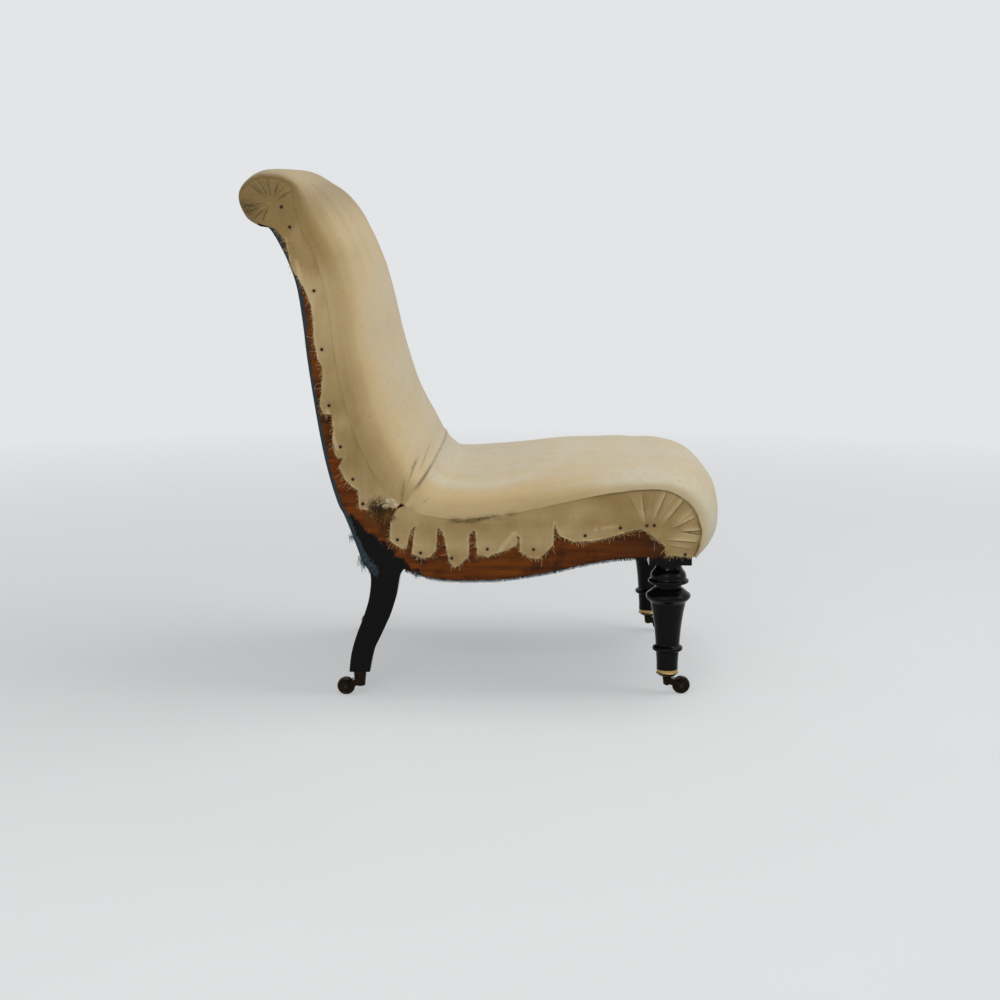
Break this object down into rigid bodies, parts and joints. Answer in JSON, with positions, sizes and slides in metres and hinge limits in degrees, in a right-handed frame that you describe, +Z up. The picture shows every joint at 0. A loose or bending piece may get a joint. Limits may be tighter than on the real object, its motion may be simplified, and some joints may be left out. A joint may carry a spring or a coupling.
{
  "type": "slipper chair",
  "caption": "Low armless chair with a rolled seat front, a tall scroll back, turned front legs and sabre rear legs on castors, stripped to its calico undercover.",
  "frame": {"origin": "on the floor under the centre of the chair's plan, wheels included", "axes": "+Z up; the sitter faces -Y; +X is the sitter's left"},
  "size_m": [0.4948, 0.7461, 0.8161],
  "materials": {
    "ebonised_wood": "glossy black polish over turned and sawn beech",
    "stained_beech": "orange-brown stain, satin, with old tack holes",
    "plain_beech": "bare sawn beech",
    "screw_steel": "dull steel",
    "jute_webbing": "matte woven jute",
    "spring_steel": "dull coppered wire gone dark",
    "laid_cord": "matte hemp cord",
    "hessian": "matte open weave",
    "horsehair": "matte curled hair",
    "calico": "matte unbleached cotton",
    "blue_lining": "matte blue-grey cotton, frayed",
    "black_lining": "matte black cotton",
    "blued_tacks": "blued and rusted",
    "castor_brass": "worn bright brass",
    "castor_bronze": "brown tarnish, nearly black",
    "pin_steel": "dark worn steel"
  },
  "bodies": {
    "chair": {"front_leg_left": "ebonised_wood", "rear_leg_left": "ebonised_wood", "side_rail_left": "stained_beech", "back_stile_left": "stained_beech", "front_leg_right": "ebonised_wood", "rear_leg_right": "ebonised_wood", "side_rail_right": "stained_beech", "back_stile_right": "stained_beech", "front_rail": "plain_beech", "rear_rail": "plain_beech", "stuffing_rail": "plain_beech", "crest_rail": "plain_beech", "corner_blocks": "plain_beech", "frame_dowels": "plain_beech", "block_screws": "screw_steel", "seat_webbing": "jute_webbing", "back_webbing": "jute_webbing", "seat_springs": "spring_steel", "lashing_cord": "laid_cord", "spring_hessian": "hessian", "back_hessian": "hessian", "seat_stuffing": "horsehair", "back_stuffing": "horsehair", "seat_calico": "calico", "back_calico": "calico", "back_lining": "blue_lining", "bottom_lining": "black_lining", "cover_tacks": "blued_tacks", "lining_tacks": "blued_tacks", "castor_cup_front_left": "castor_brass", "castor_plate_rear_left": "castor_bronze", "castor_cup_front_right": "castor_brass", "castor_plate_rear_right": "castor_bronze", "castor_pin_front_left": "pin_steel", "castor_pin_front_right": "pin_steel", "castor_pin_rear_left": "pin_steel", "castor_pin_rear_right": "pin_steel"},
    "castor_front_left": {"castor_horn_front_left": "castor_bronze", "castor_axle_front_left": "pin_steel"},
    "wheel_front_left": {"castor_wheel_front_left": "castor_bronze"},
    "castor_front_right": {"castor_horn_front_right": "castor_bronze", "castor_axle_front_right": "pin_steel"},
    "wheel_front_right": {"castor_wheel_front_right": "castor_bronze"},
    "castor_rear_left": {"castor_horn_rear_left": "castor_bronze", "castor_axle_rear_left": "pin_steel"},
    "wheel_rear_left": {"castor_wheel_rear_left": "castor_bronze"},
    "castor_rear_right": {"castor_horn_rear_right": "castor_bronze", "castor_axle_rear_right": "pin_steel"},
    "wheel_rear_right": {"castor_wheel_rear_right": "castor_bronze"}
  },
  "joints": [
    {"name": "swivel_front_left", "type": "hinge", "parent": "chair", "child": "castor_front_left", "pos_m": [0.212, -0.28899, 0.02], "axis": [0, 0, 1], "continuous": true},
    {"name": "spin_front_left", "type": "hinge", "parent": "castor_front_left", "child": "wheel_front_left", "pos_m": [0.212, -0.31099, 0.014], "axis": [1, 0, 0], "continuous": true},
    {"name": "swivel_front_right", "type": "hinge", "parent": "chair", "child": "castor_front_right", "pos_m": [-0.212, -0.28899, 0.02], "axis": [0, 0, 1], "continuous": true},
    {"name": "spin_front_right", "type": "hinge", "parent": "castor_front_right", "child": "wheel_front_right", "pos_m": [-0.212, -0.31099, 0.014], "axis": [1, 0, 0], "continuous": true},
    {"name": "swivel_rear_left", "type": "hinge", "parent": "chair", "child": "castor_rear_left", "pos_m": [0.222, 0.19414, 0.02], "axis": [0, 0, 1], "continuous": true},
    {"name": "spin_rear_left", "type": "hinge", "parent": "castor_rear_left", "child": "wheel_rear_left", "pos_m": [0.222, 0.21614, 0.014], "axis": [1, 0, 0], "continuous": true},
    {"name": "swivel_rear_right", "type": "hinge", "parent": "chair", "child": "castor_rear_right", "pos_m": [-0.222, 0.19414, 0.02], "axis": [0, 0, 1], "continuous": true},
    {"name": "spin_rear_right", "type": "hinge", "parent": "castor_rear_right", "child": "wheel_rear_right", "pos_m": [-0.222, 0.21614, 0.014], "axis": [1, 0, 0], "continuous": true}
  ]
}
